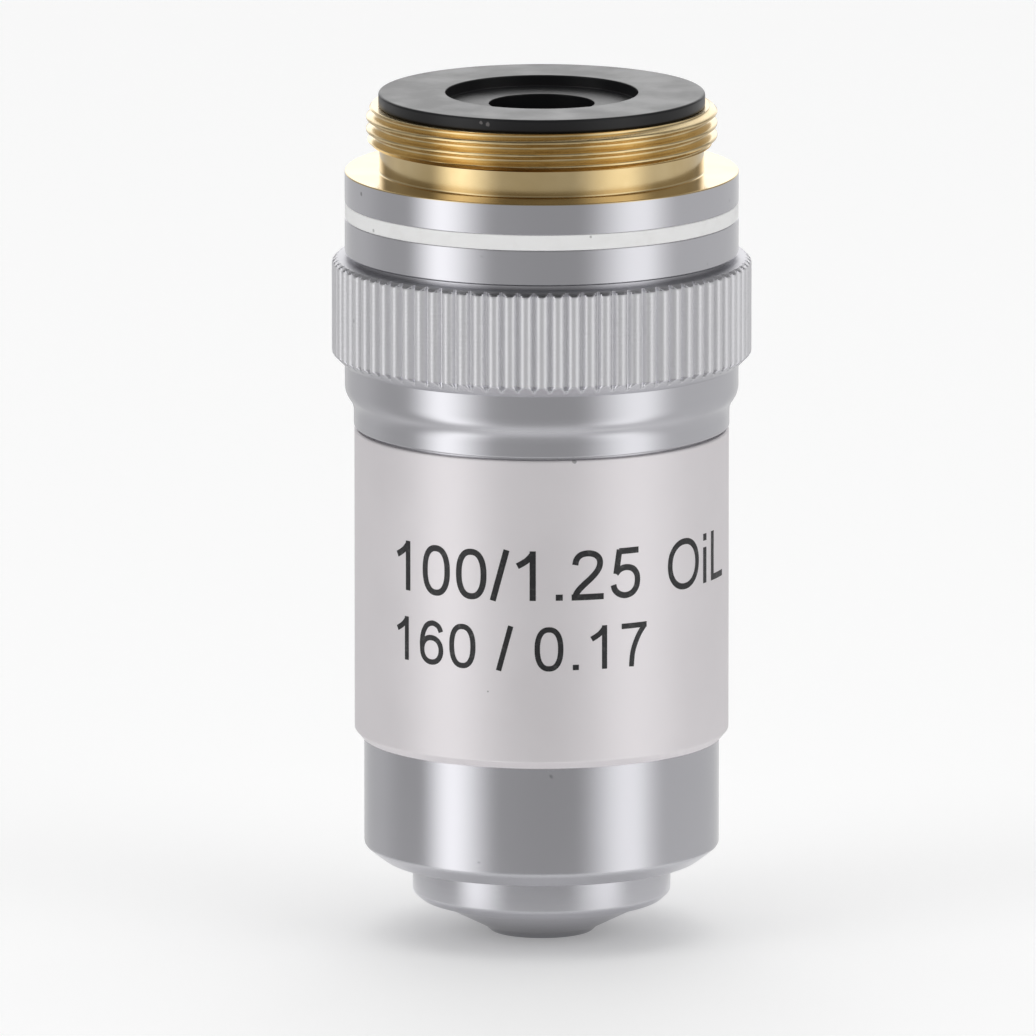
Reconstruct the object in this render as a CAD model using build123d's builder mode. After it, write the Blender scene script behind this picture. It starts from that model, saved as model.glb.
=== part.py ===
"""Oil immersion microscope objective with a sprung nose, standing on its tip.

All sizes are in millimetres. The origin is the centre of the tip's flat front face,
and +Z runs up the optical axis to the mounting thread.
"""

import os
from math import copysign, sqrt

from build123d import *

os.makedirs("parts", exist_ok=True)

# Clearances
running_clearance = 0.05  # sliding nose in its two guides
fit_clearance = 0.02  # screwed and seated pieces
end_room = 0.4  # air left past the end of the nose's travel

# Standard interface
tip_to_shoulder = 44.8  # 45 mm to the specimen, less cover glass and oil gap
thread_diameter = 20.32
thread_length = 2.2
thread_lead = 0.3
neck_height = 1.6
neck_undercut = 0.76
seat_step = 0.1  # the seat starts this far outside the thread
seat_width = 1.14
seat_relief_depth = 0.05

# Travel of the sprung nose
nose_travel = 2.0

# Mount body
collar_height = 4.8
collar_wall = 1.5
undercut_height = 0.3
undercut_depth = 0.4
mount_spigot_wall = 1.38
neck_wall = 1.4
seat_flange_thickness = 2.0
light_bore_margin = 0.6
edge_break = 0.1

# Colour band in its groove
band_drop = 1.8  # shoulder to the band's upper edge
band_height = 0.82
band_depth = 0.25
band_fill_gap = 0.005
band_sink = 0.01

# Grip ring
knurl_rise = 0.75
knurl_length = 5.2
knurl_lead = 0.94
knurl_top_chamfer = 0.5
knurl_top_chamfer_height = 0.45
groove_count = 80
groove_mouth = 0.36
groove_root = 0.12
groove_depth = 0.33
shoulder_band_height = 1.71
shoulder_band_chamfer_height = 0.77
grip_skirt_height = 1.23
grip_skirt_proud = 0.03  # the skirt stands this far proud of the sleeve
parting_gap = 0.15
parting_land = 0.2
spigot_wall = 0.43
ledge_depth = 1.6  # parting line to the ledge's upper face
ledge_thickness = 2.2

# Barrel sleeve
sleeve_wall = 0.5
sleeve_length = 18.15
sleeve_chamfer = 0.4
sleeve_chamfer_height = 0.46

# Rear stop
stop_disc_step = 0.71  # the disc is this much smaller than the thread's radius
stop_disc_thickness = 0.76
stop_recess_diameter = 11.15
stop_recess_depth = 0.65
stop_hole_diameter = 6.1
stop_land_thickness = 1.0
stop_spigot_depth = 2.6
stop_spigot_wall = 1.98

# Spring and guide
wire_diameter = 0.8
spring_side_room = 0.8
spring_guide_room = 0.4
spring_turns = 6
pin_diameter = 1.0
pin_seat_depth = 1.5
pin_side_room = 0.3
pin_chamfer = 0.15

# Stop ring and its locking screw
stop_ring_thickness = 2.4
stop_ring_side_room = 0.4
screw_diameter = 1.2
screw_length = 2.2
screw_slot_width = 0.25
screw_slot_depth = 0.4

# Nose barrel
nose_chamfer = 1.02
nose_chamfer_height = 0.78
neck_tube_wall = 1.5
neck_tube_rise = 5.5

# Front cap
tip_face_diameter = 6.0
tip_bevel = 0.3
cone_height = 1.67
cap_diameter = 15.0
cap_chamfer = 0.45
cap_chamfer_height = 0.41
cap_flat = 0.45
cap_ring_height = 2.01
cap_floor = 2.0
cap_spigot_shortfall = 0.05  # the cells stand proud, so that the cap clamps them

# Front lens, a little more than half of a ball
front_lens_radius = 0.95
front_lens_offset = 0.3
front_lens_recess = 0.05
front_lens_lip = 0.15
front_cone_mouth = 1.6
lens_seat_gap = 0.01

# Meniscus lens and its cell
meniscus_diameter = 3.9
meniscus_front_radius = 4.5
meniscus_back_radius = 2.7
meniscus_edge = 0.75
meniscus_lip_width = 0.3
meniscus_lip_height = 0.4
meniscus_cell_cone = 1.4
meniscus_cell_mouth = 0.65
meniscus_land = 0.15
shim_thickness = 0.3

# Lower cemented pair
lower_lens_diameter = 5.4
lower_front_radius = 6.0
lower_cement_radius = 4.5
lower_crown_edge = 0.5
lower_flint_centre = 0.6
lower_cell_wall = 1.78
lower_lip_width = 0.35
lower_lip_height = 0.8
lower_ring_width = 1.2
lower_ring_overlap = 0.5
lower_ring_height = 0.7
lower_cell_rim = 0.1

# Upper cemented pair
upper_lens_diameter = 6.6
upper_front_radius = 9.0
upper_cement_radius = 6.0
upper_crown_edge = 0.6
upper_flint_centre = 0.7
upper_cell_wall = 2.68
upper_lip_width = 0.4
upper_lip_height = 1.1
upper_ring_width = 1.4
upper_ring_overlap = 0.5
upper_ring_height = 0.8
upper_cell_rim = 0.6
ring_slot_width = 0.5
ring_slot_depth = 0.3

# Spacer tube above the cells
spacer_length = 6.6
spacer_wall = 0.98

# Radii of the outer pieces, worked inwards from the thread
thread_r = thread_diameter / 2
neck_r = thread_r - neck_undercut
seat_inner_r = thread_r + seat_step
collar_r = seat_inner_r + seat_width
knurl_r = collar_r + knurl_rise
grip_bore_r = collar_r - collar_wall
sleeve_bore_r = grip_bore_r + spigot_wall + fit_clearance
sleeve_r = sleeve_bore_r + sleeve_wall
grip_skirt_r = sleeve_r + grip_skirt_proud
nose_r = sleeve_bore_r - running_clearance
mount_spigot_r = grip_bore_r - fit_clearance
mount_bore_r = mount_spigot_r - mount_spigot_wall
rear_bore_r = neck_r - neck_wall
spring_outer_r = mount_bore_r - spring_side_room
spring_mean_r = spring_outer_r - wire_diameter / 2
neck_tube_r = spring_outer_r - wire_diameter - spring_guide_room
neck_tube_bore_r = neck_tube_r - neck_tube_wall
stop_ring_r = grip_bore_r - stop_ring_side_room
pin_r = pin_diameter / 2
pin_slot_r = pin_r + running_clearance
pin_circle_r = spring_outer_r + pin_side_room + pin_slot_r

# Radii of the optics, worked outwards from the lenses
meniscus_r = meniscus_diameter / 2
lower_lens_r = lower_lens_diameter / 2
upper_lens_r = upper_lens_diameter / 2
lower_cell_r = lower_lens_r + fit_clearance + lower_cell_wall
upper_cell_r = upper_lens_r + upper_cell_wall
cap_bore_r = lower_cell_r + fit_clearance
nose_bore_r = upper_cell_r + fit_clearance
cap_spigot_r = nose_bore_r - fit_clearance
cap_r = cap_diameter / 2
tip_face_r = tip_face_diameter / 2
cone_foot_r = cap_r - cap_chamfer - cap_flat


def sagitta(radius, rim_r):
    """Depth of a spherical surface at its rim, with the sign of its radius."""
    return copysign(abs(radius) - sqrt(radius**2 - rim_r**2), radius)


def lens_surface(vertex_z, radius, rim_r):
    """Draw a lens surface from the axis to its rim. A positive radius curves upwards."""
    half_r = rim_r / 2
    return ThreePointArc(
        (0, vertex_z),
        (half_r, vertex_z + sagitta(radius, half_r)),
        (rim_r, vertex_z + sagitta(radius, rim_r)),
    )


# Heights of the outer pieces, worked downwards from the shoulder
collar_bottom = tip_to_shoulder - collar_height
band_top = tip_to_shoulder - band_drop
band_bottom = band_top - band_height
grip_top = collar_bottom - undercut_height
knurl_bottom = grip_top - knurl_length
knurl_lead_bottom = knurl_bottom - knurl_lead
shoulder_band_bottom = knurl_lead_bottom - shoulder_band_height
skirt_top = shoulder_band_bottom - shoulder_band_chamfer_height
skirt_bottom = skirt_top - grip_skirt_height
parting_z = skirt_bottom - parting_gap
sleeve_bottom = parting_z - sleeve_length
ledge_top = parting_z - ledge_depth
ledge_bottom = ledge_top - ledge_thickness
neck_top = tip_to_shoulder + neck_height
thread_top = neck_top + thread_length
disc_top = thread_top + stop_disc_thickness
recess_floor = disc_top - stop_recess_depth
stop_spigot_bottom = thread_top - stop_spigot_depth
spring_top = stop_spigot_bottom - seat_flange_thickness

# Heights of the moving nose at rest
nose_shoulder = ledge_bottom - end_room - nose_travel
stop_ring_top = ledge_top + stop_ring_thickness
stop_ring_middle = ledge_top + stop_ring_thickness / 2
neck_tube_top = stop_ring_top + neck_tube_rise
mount_spigot_bottom = stop_ring_top + nose_travel + end_room
pin_bottom = ledge_top - pin_seat_depth
pin_top = mount_spigot_bottom - end_room / 2

# Heights of the front cap and the lens train, worked upwards from the tip
cone_foot = tip_bevel + cone_height
cap_ring_bottom = cone_foot + cap_chamfer_height
cap_ring_top = cap_ring_bottom + cap_ring_height
ball_centre = front_lens_recess + front_lens_offset
front_lens_flat_r = sqrt(front_lens_radius**2 - front_lens_offset**2)
front_lip_r = front_lens_radius - front_lens_lip
front_lip_z = ball_centre + sqrt(front_lens_radius**2 - front_lip_r**2) + lens_seat_gap
meniscus_seat = cap_floor + meniscus_lip_height
meniscus_rim_top = meniscus_seat + meniscus_edge
meniscus_cone_bottom = meniscus_rim_top + meniscus_land
meniscus_cell_top = meniscus_cone_bottom + meniscus_cell_cone
shim_top = meniscus_cell_top + shim_thickness
lower_seat = shim_top + lower_lip_height
lower_cement_rim = lower_seat + lower_crown_edge
lower_cement_vertex = lower_cement_rim + sagitta(lower_cement_radius, lower_lens_r)
lower_flint_top = lower_cement_vertex + lower_flint_centre
lower_ring_top = lower_flint_top + lower_ring_height
lower_cell_top = lower_ring_top + lower_cell_rim
cap_spigot_top = lower_cell_top - cap_spigot_shortfall
upper_seat = lower_cell_top + upper_lip_height
upper_cement_rim = upper_seat + upper_crown_edge
upper_cement_vertex = upper_cement_rim + sagitta(upper_cement_radius, upper_lens_r)
upper_flint_top = upper_cement_vertex + upper_flint_centre
upper_ring_top = upper_flint_top + upper_ring_height
upper_cell_top = upper_ring_top + upper_cell_rim
spacer_top = upper_cell_top + spacer_length

# Mount body: thread, seat, collar and the spigot that screws into the grip ring.
# The thread is a plain cylinder at its major diameter.
with BuildPart() as mount_body:
    with BuildSketch(Plane.XZ):
        with BuildLine():
            Polyline(
                (mount_bore_r, mount_spigot_bottom),
                (mount_spigot_r, mount_spigot_bottom),
                (mount_spigot_r, grip_top),
                (collar_r - undercut_depth, grip_top),
                (collar_r - undercut_depth, collar_bottom),
                (collar_r - edge_break, collar_bottom),
                (collar_r, collar_bottom + edge_break),
                (collar_r, band_bottom),
                (collar_r - band_depth, band_bottom),
                (collar_r - band_depth, band_top),
                (collar_r, band_top),
                (collar_r, tip_to_shoulder),
                (seat_inner_r, tip_to_shoulder),
                (seat_inner_r, tip_to_shoulder - seat_relief_depth),
                (neck_r, tip_to_shoulder - seat_relief_depth),
                (neck_r, neck_top),
                (thread_r - thread_lead, neck_top),
                (thread_r, neck_top + thread_lead),
                (thread_r, thread_top - thread_lead),
                (thread_r - thread_lead, thread_top),
                (rear_bore_r, thread_top),
                (rear_bore_r, stop_spigot_bottom),
                (neck_tube_bore_r + light_bore_margin, stop_spigot_bottom),
                (neck_tube_bore_r + light_bore_margin, spring_top),
                (mount_bore_r, spring_top),
                close=True,
            )
        make_face()
    revolve(axis=Axis.Z)
mount_body.part.label = "mount_body"

# Enamel that fills the groove in the collar
with BuildPart() as colour_band:
    with BuildSketch(Plane.XZ):
        with BuildLine():
            Polyline(
                (collar_r - band_depth + band_fill_gap, band_bottom + band_fill_gap),
                (collar_r - band_sink, band_bottom + band_fill_gap),
                (collar_r - band_sink, band_top - band_fill_gap),
                (collar_r - band_depth + band_fill_gap, band_top - band_fill_gap),
                close=True,
            )
        make_face()
    revolve(axis=Axis.Z)
colour_band.part.label = "colour_band"

# Grip ring: knurled rim, skirt, spigot for the sleeve and the ledge that stops the nose
with BuildPart() as grip_ring:
    with BuildSketch(Plane.XZ):
        with BuildLine():
            Polyline(
                (neck_tube_r + running_clearance, ledge_bottom),
                (sleeve_bore_r - fit_clearance, ledge_bottom),
                (sleeve_bore_r - fit_clearance, parting_z),
                (sleeve_bore_r + parting_land, parting_z),
                (sleeve_bore_r + parting_land, skirt_bottom),
                (grip_skirt_r, skirt_bottom),
                (grip_skirt_r, skirt_top),
                (collar_r, shoulder_band_bottom),
                (collar_r, knurl_lead_bottom),
                (knurl_r, knurl_bottom),
                (knurl_r, grip_top - knurl_top_chamfer_height),
                (knurl_r - knurl_top_chamfer, grip_top),
                (grip_bore_r, grip_top),
                (grip_bore_r, ledge_top),
                (neck_tube_r + running_clearance, ledge_top),
                close=True,
            )
        make_face()
    revolve(axis=Axis.Z)
    # Straight knurl: flat-bottomed grooves that run out in the two chamfers
    with BuildSketch(Plane.XY.offset(knurl_lead_bottom)):
        with PolarLocations(knurl_r, groove_count):
            Polygon(
                (-groove_depth, -groove_root / 2),
                (0, -groove_mouth / 2),
                (groove_depth, -groove_mouth / 2),
                (groove_depth, groove_mouth / 2),
                (0, groove_mouth / 2),
                (-groove_depth, groove_root / 2),
                align=None,
            )
    extrude(amount=grip_top - knurl_lead_bottom, mode=Mode.SUBTRACT)
    # Blind hole in the ledge for the guide pin
    with BuildSketch(Plane.XY.offset(ledge_top)):
        with Locations((pin_circle_r, 0)):
            Circle(pin_r + fit_clearance)
    extrude(amount=-pin_seat_depth, mode=Mode.SUBTRACT)
grip_ring.part.label = "grip_ring"

# Barrel sleeve: the thin marked tube around the sliding nose
with BuildPart() as barrel_sleeve:
    with BuildSketch(Plane.XZ):
        with BuildLine():
            Polyline(
                (sleeve_bore_r, sleeve_bottom),
                (sleeve_r - sleeve_chamfer, sleeve_bottom),
                (sleeve_r, sleeve_bottom + sleeve_chamfer_height),
                (sleeve_r, parting_z - edge_break),
                (sleeve_r - edge_break, parting_z),
                (sleeve_bore_r, parting_z),
                close=True,
            )
        make_face()
    revolve(axis=Axis.Z)
barrel_sleeve.part.label = "barrel_sleeve"

# Rear stop: a disc with a recess and the rear aperture, on a spigot
with BuildPart() as rear_stop:
    with BuildSketch(Plane.XZ):
        with BuildLine():
            Polyline(
                (rear_bore_r - fit_clearance, stop_spigot_bottom),
                (rear_bore_r - fit_clearance, thread_top),
                (thread_r - stop_disc_step - edge_break, thread_top),
                (thread_r - stop_disc_step, thread_top + edge_break),
                (thread_r - stop_disc_step, disc_top - edge_break),
                (thread_r - stop_disc_step - edge_break, disc_top),
                (stop_recess_diameter / 2, disc_top),
                (stop_recess_diameter / 2, recess_floor),
                (stop_hole_diameter / 2, recess_floor),
                (stop_hole_diameter / 2, recess_floor - stop_land_thickness),
                (rear_bore_r - stop_spigot_wall, recess_floor - stop_land_thickness),
                (rear_bore_r - stop_spigot_wall, stop_spigot_bottom),
                close=True,
            )
        make_face()
    revolve(axis=Axis.Z)
rear_stop.part.label = "rear_stop"

# Coil spring between the stop ring and the mount body, with all its turns active
spring_start = stop_ring_top + wire_diameter / 2
spring_height = spring_top - wire_diameter / 2 - spring_start
spring_pitch = spring_height / spring_turns

with BuildPart() as coil_spring:
    with BuildLine() as coil:
        Helix(
            pitch=spring_pitch,
            height=spring_height,
            radius=spring_mean_r,
            center=(0, 0, spring_start),
        )
    path = coil.wires()[0]
    with BuildSketch(Plane(origin=path @ 0, z_dir=path % 0)):
        Circle(wire_diameter / 2)
    sweep(path=path, is_frenet=True)
coil_spring.part.label = "coil_spring"

# Guide pin: stands in the ledge and keeps the nose from turning
with BuildPart() as guide_pin:
    with BuildSketch(Plane.XY.offset(pin_bottom)):
        with Locations((pin_circle_r, 0)):
            Circle(pin_r)
    extrude(amount=pin_top - pin_bottom)
    chamfer(edges().filter_by(GeomType.CIRCLE).sort_by(Axis.Z)[-1], length=pin_chamfer)
guide_pin.part.label = "guide_pin"

# Nose barrel: holds the lens train and slides in the sleeve and the ledge
with BuildPart() as nose_barrel:
    with BuildSketch(Plane.XZ):
        with BuildLine():
            Polyline(
                (nose_bore_r, cap_ring_top),
                (nose_r - nose_chamfer, cap_ring_top),
                (nose_r, cap_ring_top + nose_chamfer_height),
                (nose_r, nose_shoulder),
                (neck_tube_r, nose_shoulder),
                (neck_tube_r, neck_tube_top),
                (neck_tube_bore_r, neck_tube_top),
                (neck_tube_bore_r, spacer_top),
                (nose_bore_r, spacer_top),
                close=True,
            )
        make_face()
    revolve(axis=Axis.Z)
nose_barrel.part.label = "nose_barrel"

# Stop ring: screwed on the neck tube, it rests on the ledge and carries the spring
with BuildPart() as stop_ring:
    with BuildSketch(Plane.XY.offset(ledge_top)):
        Circle(stop_ring_r)
        Circle(neck_tube_r + fit_clearance, mode=Mode.SUBTRACT)
        with Locations((pin_circle_r, 0)):
            Circle(pin_slot_r, mode=Mode.SUBTRACT)
            Rectangle(
                stop_ring_r,
                2 * pin_slot_r,
                align=(Align.MIN, Align.CENTER),
                mode=Mode.SUBTRACT,
            )
    extrude(amount=stop_ring_thickness)
    with BuildSketch(Plane(origin=(0, 0, stop_ring_middle), z_dir=(-1, 0, 0))):
        Circle(screw_diameter / 2 + fit_clearance)
    extrude(amount=stop_ring_r + fit_clearance, mode=Mode.SUBTRACT)
stop_ring.part.label = "stop_ring"

# Slotted screw that locks the stop ring on the neck tube
screw_inner_x = -(neck_tube_r + fit_clearance)
with BuildPart() as stop_ring_screw:
    with BuildSketch(Plane(origin=(screw_inner_x, 0, stop_ring_middle), z_dir=(-1, 0, 0))):
        Circle(screw_diameter / 2)
    extrude(amount=screw_length)
    slot_plane = Plane(origin=(screw_inner_x - screw_length, 0, stop_ring_middle), z_dir=(-1, 0, 0))
    with BuildSketch(slot_plane):
        Rectangle(2 * screw_diameter, screw_slot_width)
    extrude(amount=-screw_slot_depth, mode=Mode.SUBTRACT)
stop_ring_screw.part.label = "stop_ring_screw"

# Front cap: the cone, the ring and the spigot that clamps the lens train
with BuildPart() as front_cap:
    with BuildSketch(Plane.XZ):
        with BuildLine():
            Polyline(
                (front_lens_radius + fit_clearance, 0),
                (tip_face_r, 0),
                (tip_face_r + tip_bevel, tip_bevel),
                (cone_foot_r, cone_foot),
                (cone_foot_r + cap_flat, cone_foot),
                (cap_r, cap_ring_bottom),
                (cap_r, cap_ring_top),
                (cap_spigot_r, cap_ring_top),
                (cap_spigot_r, cap_spigot_top),
                (cap_bore_r, cap_spigot_top),
                (cap_bore_r, cap_floor),
                (front_cone_mouth, cap_floor),
                (front_lip_r, front_lip_z),
                (front_lens_radius + fit_clearance, front_lip_z),
                close=True,
            )
        make_face()
    revolve(axis=Axis.Z)
front_cap.part.label = "front_cap"

# Front lens: flat towards the specimen, ball-shaped behind
with BuildPart() as front_lens:
    with BuildSketch(Plane.XZ):
        with BuildLine():
            Line((0, front_lens_recess), (front_lens_flat_r, front_lens_recess))
            ThreePointArc(
                (front_lens_flat_r, front_lens_recess),
                (front_lens_radius, ball_centre),
                (0, ball_centre + front_lens_radius),
            )
            Line((0, ball_centre + front_lens_radius), (0, front_lens_recess))
        make_face()
    revolve(axis=Axis.Z)
front_lens.part.label = "front_lens"

# Meniscus cell and lens
with BuildPart() as meniscus_cell:
    with BuildSketch(Plane.XZ):
        with BuildLine():
            Polyline(
                (meniscus_r - meniscus_lip_width, cap_floor),
                (lower_cell_r, cap_floor),
                (lower_cell_r, meniscus_cell_top),
                (meniscus_r + fit_clearance + meniscus_cell_mouth, meniscus_cell_top),
                (meniscus_r + fit_clearance, meniscus_cone_bottom),
                (meniscus_r + fit_clearance, meniscus_seat),
                (meniscus_r - meniscus_lip_width, meniscus_seat),
                close=True,
            )
        make_face()
    revolve(axis=Axis.Z)
meniscus_cell.part.label = "meniscus_cell"

meniscus_front_z = meniscus_seat + lens_seat_gap + sagitta(meniscus_front_radius, meniscus_r)
meniscus_back_rim = meniscus_rim_top + lens_seat_gap
meniscus_back_z = meniscus_back_rim + sagitta(meniscus_back_radius, meniscus_r)
with BuildPart() as meniscus_lens:
    with BuildSketch(Plane.XZ):
        with BuildLine():
            lens_surface(meniscus_front_z, -meniscus_front_radius, meniscus_r)
            Line((meniscus_r, meniscus_seat + lens_seat_gap), (meniscus_r, meniscus_back_rim))
            lens_surface(meniscus_back_z, -meniscus_back_radius, meniscus_r)
            Line((0, meniscus_front_z), (0, meniscus_back_z))
        make_face()
    revolve(axis=Axis.Z)
meniscus_lens.part.label = "meniscus_lens"

# Shim that sets the distance from the meniscus to the lower pair
with BuildPart() as spacing_shim:
    with BuildSketch(Plane.XY.offset(meniscus_cell_top)):
        Circle(lower_cell_r)
        Circle(meniscus_r + fit_clearance + meniscus_cell_mouth, mode=Mode.SUBTRACT)
    extrude(amount=shim_thickness)
spacing_shim.part.label = "spacing_shim"

# The two cemented pairs have the same construction: a cell with a lip below, a lens
# that is convex on both sides, a flat-topped lens cemented to it, and a slotted ring.
cells = []
for name, cell_r, cell_bottom, cell_top, lens_r, lip_width, ring_width, overlap, levels, radii in (
    (
        "lower",
        lower_cell_r,
        shim_top,
        lower_cell_top,
        lower_lens_r,
        lower_lip_width,
        lower_ring_width,
        lower_ring_overlap,
        (lower_seat, lower_cement_rim, lower_cement_vertex, lower_flint_top, lower_ring_top),
        (lower_front_radius, lower_cement_radius),
    ),
    (
        "upper",
        upper_cell_r,
        lower_cell_top,
        upper_cell_top,
        upper_lens_r,
        upper_lip_width,
        upper_ring_width,
        upper_ring_overlap,
        (upper_seat, upper_cement_rim, upper_cement_vertex, upper_flint_top, upper_ring_top),
        (upper_front_radius, upper_cement_radius),
    ),
):
    seat, cement_rim, cement_vertex, flint_top, ring_top = levels
    front_radius, cement_radius = radii
    ring_inner_r = lens_r - overlap
    ring_outer_r = ring_inner_r + ring_width
    crown_front_z = seat - sagitta(front_radius, lens_r)

    with BuildPart() as cell:
        with BuildSketch(Plane.XZ):
            with BuildLine():
                Polyline(
                    (lens_r - lip_width, cell_bottom),
                    (cell_r, cell_bottom),
                    (cell_r, cell_top),
                    (ring_outer_r + fit_clearance, cell_top),
                    (ring_outer_r + fit_clearance, flint_top),
                    (lens_r + fit_clearance, flint_top),
                    (lens_r + fit_clearance, seat),
                    (lens_r - lip_width, seat - sagitta(front_radius, lens_r)),
                    close=True,
                )
            make_face()
        revolve(axis=Axis.Z)
    cell.part.label = name + "_doublet_cell"

    with BuildPart() as crown:
        with BuildSketch(Plane.XZ):
            with BuildLine():
                lens_surface(crown_front_z, front_radius, lens_r)
                Line((lens_r, seat), (lens_r, cement_rim))
                lens_surface(cement_vertex, -cement_radius, lens_r)
                Line((0, crown_front_z), (0, cement_vertex))
            make_face()
        revolve(axis=Axis.Z)
    crown.part.label = name + "_crown_lens"

    with BuildPart() as flint:
        with BuildSketch(Plane.XZ):
            with BuildLine():
                lens_surface(cement_vertex, -cement_radius, lens_r)
                Polyline((lens_r, cement_rim), (lens_r, flint_top), (0, flint_top), (0, cement_vertex))
            make_face()
        revolve(axis=Axis.Z)
    flint.part.label = name + "_flint_lens"

    with BuildPart() as ring:
        with BuildSketch(Plane.XY.offset(flint_top)):
            Circle(ring_outer_r)
            Circle(ring_inner_r, mode=Mode.SUBTRACT)
        extrude(amount=ring_top - flint_top)
        with BuildSketch(Plane.XY.offset(ring_top)):
            Rectangle(3 * ring_outer_r, ring_slot_width)
        extrude(amount=-ring_slot_depth, mode=Mode.SUBTRACT)
    ring.part.label = name + "_retaining_ring"
    cells += [cell, crown, flint, ring]

# Spacer tube: presses the cells down from the step in the nose barrel
with BuildPart() as spacer_tube:
    with BuildSketch(Plane.XY.offset(upper_cell_top)):
        Circle(upper_cell_r)
        Circle(upper_cell_r - spacer_wall, mode=Mode.SUBTRACT)
    extrude(amount=spacer_length)
spacer_tube.part.label = "spacer_tube"

pieces = [
    mount_body,
    colour_band,
    grip_ring,
    barrel_sleeve,
    rear_stop,
    coil_spring,
    guide_pin,
    nose_barrel,
    stop_ring,
    stop_ring_screw,
    front_cap,
    front_lens,
    meniscus_cell,
    meniscus_lens,
    spacing_shim,
    *cells,
    spacer_tube,
]
for piece in pieces:
    export_step(piece.part, f"parts/{piece.part.label}.step")
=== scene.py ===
# %% [markdown]
# # A sprung microscope objective
# The object is a stack of turned brass parts: a threaded mount, a knurled grip ring, a
# marked sleeve, and a polished nose that slides. The solid model already has its exact
# sizes, so this file only adds what the eye needs. It starts by loading that model.

# %% Load the solid model
import math

import bmesh
import bpy
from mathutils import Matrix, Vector
from mathutils.geometry import delaunay_2d_cdt


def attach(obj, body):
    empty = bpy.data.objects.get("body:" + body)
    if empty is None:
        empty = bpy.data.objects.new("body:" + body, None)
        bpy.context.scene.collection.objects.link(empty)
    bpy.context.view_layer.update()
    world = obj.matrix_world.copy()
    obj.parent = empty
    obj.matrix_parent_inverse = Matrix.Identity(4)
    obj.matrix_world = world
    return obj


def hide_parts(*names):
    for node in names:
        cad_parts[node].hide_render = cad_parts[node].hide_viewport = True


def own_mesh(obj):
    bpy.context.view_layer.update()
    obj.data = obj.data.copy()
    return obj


MM = 0.001
MICRON = 0.000001

# Sizes that several pieces or finishes share, in millimetres.
CAP_TOP = 4.39
SLEEVE_R, SLEEVE_TOP = 10.85, 29.70
RING_TOP = 39.7
COLLAR_R, GROOVE_R = 11.4, 11.15
BAND_LOW, BAND_HIGH = 42.08, 43.0
SEAT_Z, NECK_Z, THREAD_TOP = 44.8, 46.4, 48.6
SPRING_LOW, SPRING_HIGH = 30.5, 44.0
POCKET_Z = 46.0

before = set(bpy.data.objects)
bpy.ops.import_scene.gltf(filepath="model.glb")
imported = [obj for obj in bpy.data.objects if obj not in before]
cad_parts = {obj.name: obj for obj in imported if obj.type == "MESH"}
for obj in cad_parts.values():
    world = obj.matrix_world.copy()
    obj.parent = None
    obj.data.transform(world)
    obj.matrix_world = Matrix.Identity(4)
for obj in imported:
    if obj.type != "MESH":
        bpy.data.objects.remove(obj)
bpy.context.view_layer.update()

# %% [markdown]
# ## Camera
# The photograph was taken from far away with a long lens, so upright lines stay nearly
# parallel. A camera 1.5 m away with a 900 mm lens gives the same look. It stands 11
# degrees above the horizon, and looks a little beside the axis, as the photograph does.

# %% Place the camera
CAMERA_TARGET = Vector((-1.37, 0.0, 24.27)) * MM
CAMERA_DISTANCE = 1.5
CAMERA_TILT = math.radians(10.95)
camera_data = bpy.data.cameras.new("camera")
camera_data.sensor_width = 36.0
camera_data.lens = 899.0
camera_data.clip_end = 10.0
camera = bpy.data.objects.new("camera", camera_data)
bpy.context.scene.collection.objects.link(camera)
camera.location = CAMERA_TARGET + CAMERA_DISTANCE * Vector(
    (0.0, -math.cos(CAMERA_TILT), math.sin(CAMERA_TILT))
)
camera.rotation_euler = (math.pi / 2 - CAMERA_TILT, 0.0, 0.0)
bpy.context.scene.camera = camera
bpy.context.scene.view_settings.view_transform = "Standard"
print("camera at", [round(v, 4) for v in camera.location])

# %% [markdown]
# ## A small helper for shader maths
# A material could be wired node by node, but long sums are hard to read that way. Here
# one class wraps a socket and gives it Python's operators, so `1 - mask * 0.5` adds the
# Math nodes by itself. One function, `node`, makes all nodes but those at a tree's ends.


# %% Shader helper
class Socket:
    """An output socket that can be used in sums."""

    def __init__(self, tree, socket):
        self.tree = tree
        self.socket = socket

    def math(self, operation, *values, swap=False):
        """Add one Math node. With swap, this socket is its last input."""
        terms = (*values, self) if swap else (self, *values)
        return node(self.tree, "ShaderNodeMath", {"operation": operation}, dict(enumerate(terms)))

    def __add__(self, other):
        return self.math("ADD", other)

    def __sub__(self, other):
        return self.math("SUBTRACT", other)

    def __mul__(self, other):
        return self.math("MULTIPLY", other)

    def __truediv__(self, other):
        return self.math("DIVIDE", other)

    def __pow__(self, other):
        return self.math("POWER", other)

    def __radd__(self, other):
        return self.math("ADD", other, swap=True)

    def __rsub__(self, other):
        return self.math("SUBTRACT", other, swap=True)

    def step(self, low, high, start=0.0, end=1.0):
        """Go smoothly from start to end while the value goes from low to high."""
        settings = {"interpolation_type": "SMOOTHSTEP"}
        inputs = {"Value": self, "From Min": low, "From Max": high, "To Min": start, "To Max": end}
        return node(self.tree, "ShaderNodeMapRange", settings, inputs)


# %% Nodes and links
def plug(tree, target, value):
    """Link a socket to an input, or set the input to a plain value."""
    if isinstance(value, Socket):
        tree.links.new(value.socket, target)
    else:
        target.default_value = value


def node(tree, kind, settings=None, inputs=None, output=0):
    """Add a node, set it up, fill its inputs and return one output."""
    made = tree.nodes.new(kind)
    for name, value in (settings or {}).items():
        setattr(made, name, value)
    for name, value in (inputs or {}).items():
        plug(tree, made.inputs[name], value)
    return Socket(tree, made.outputs[output])


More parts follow.
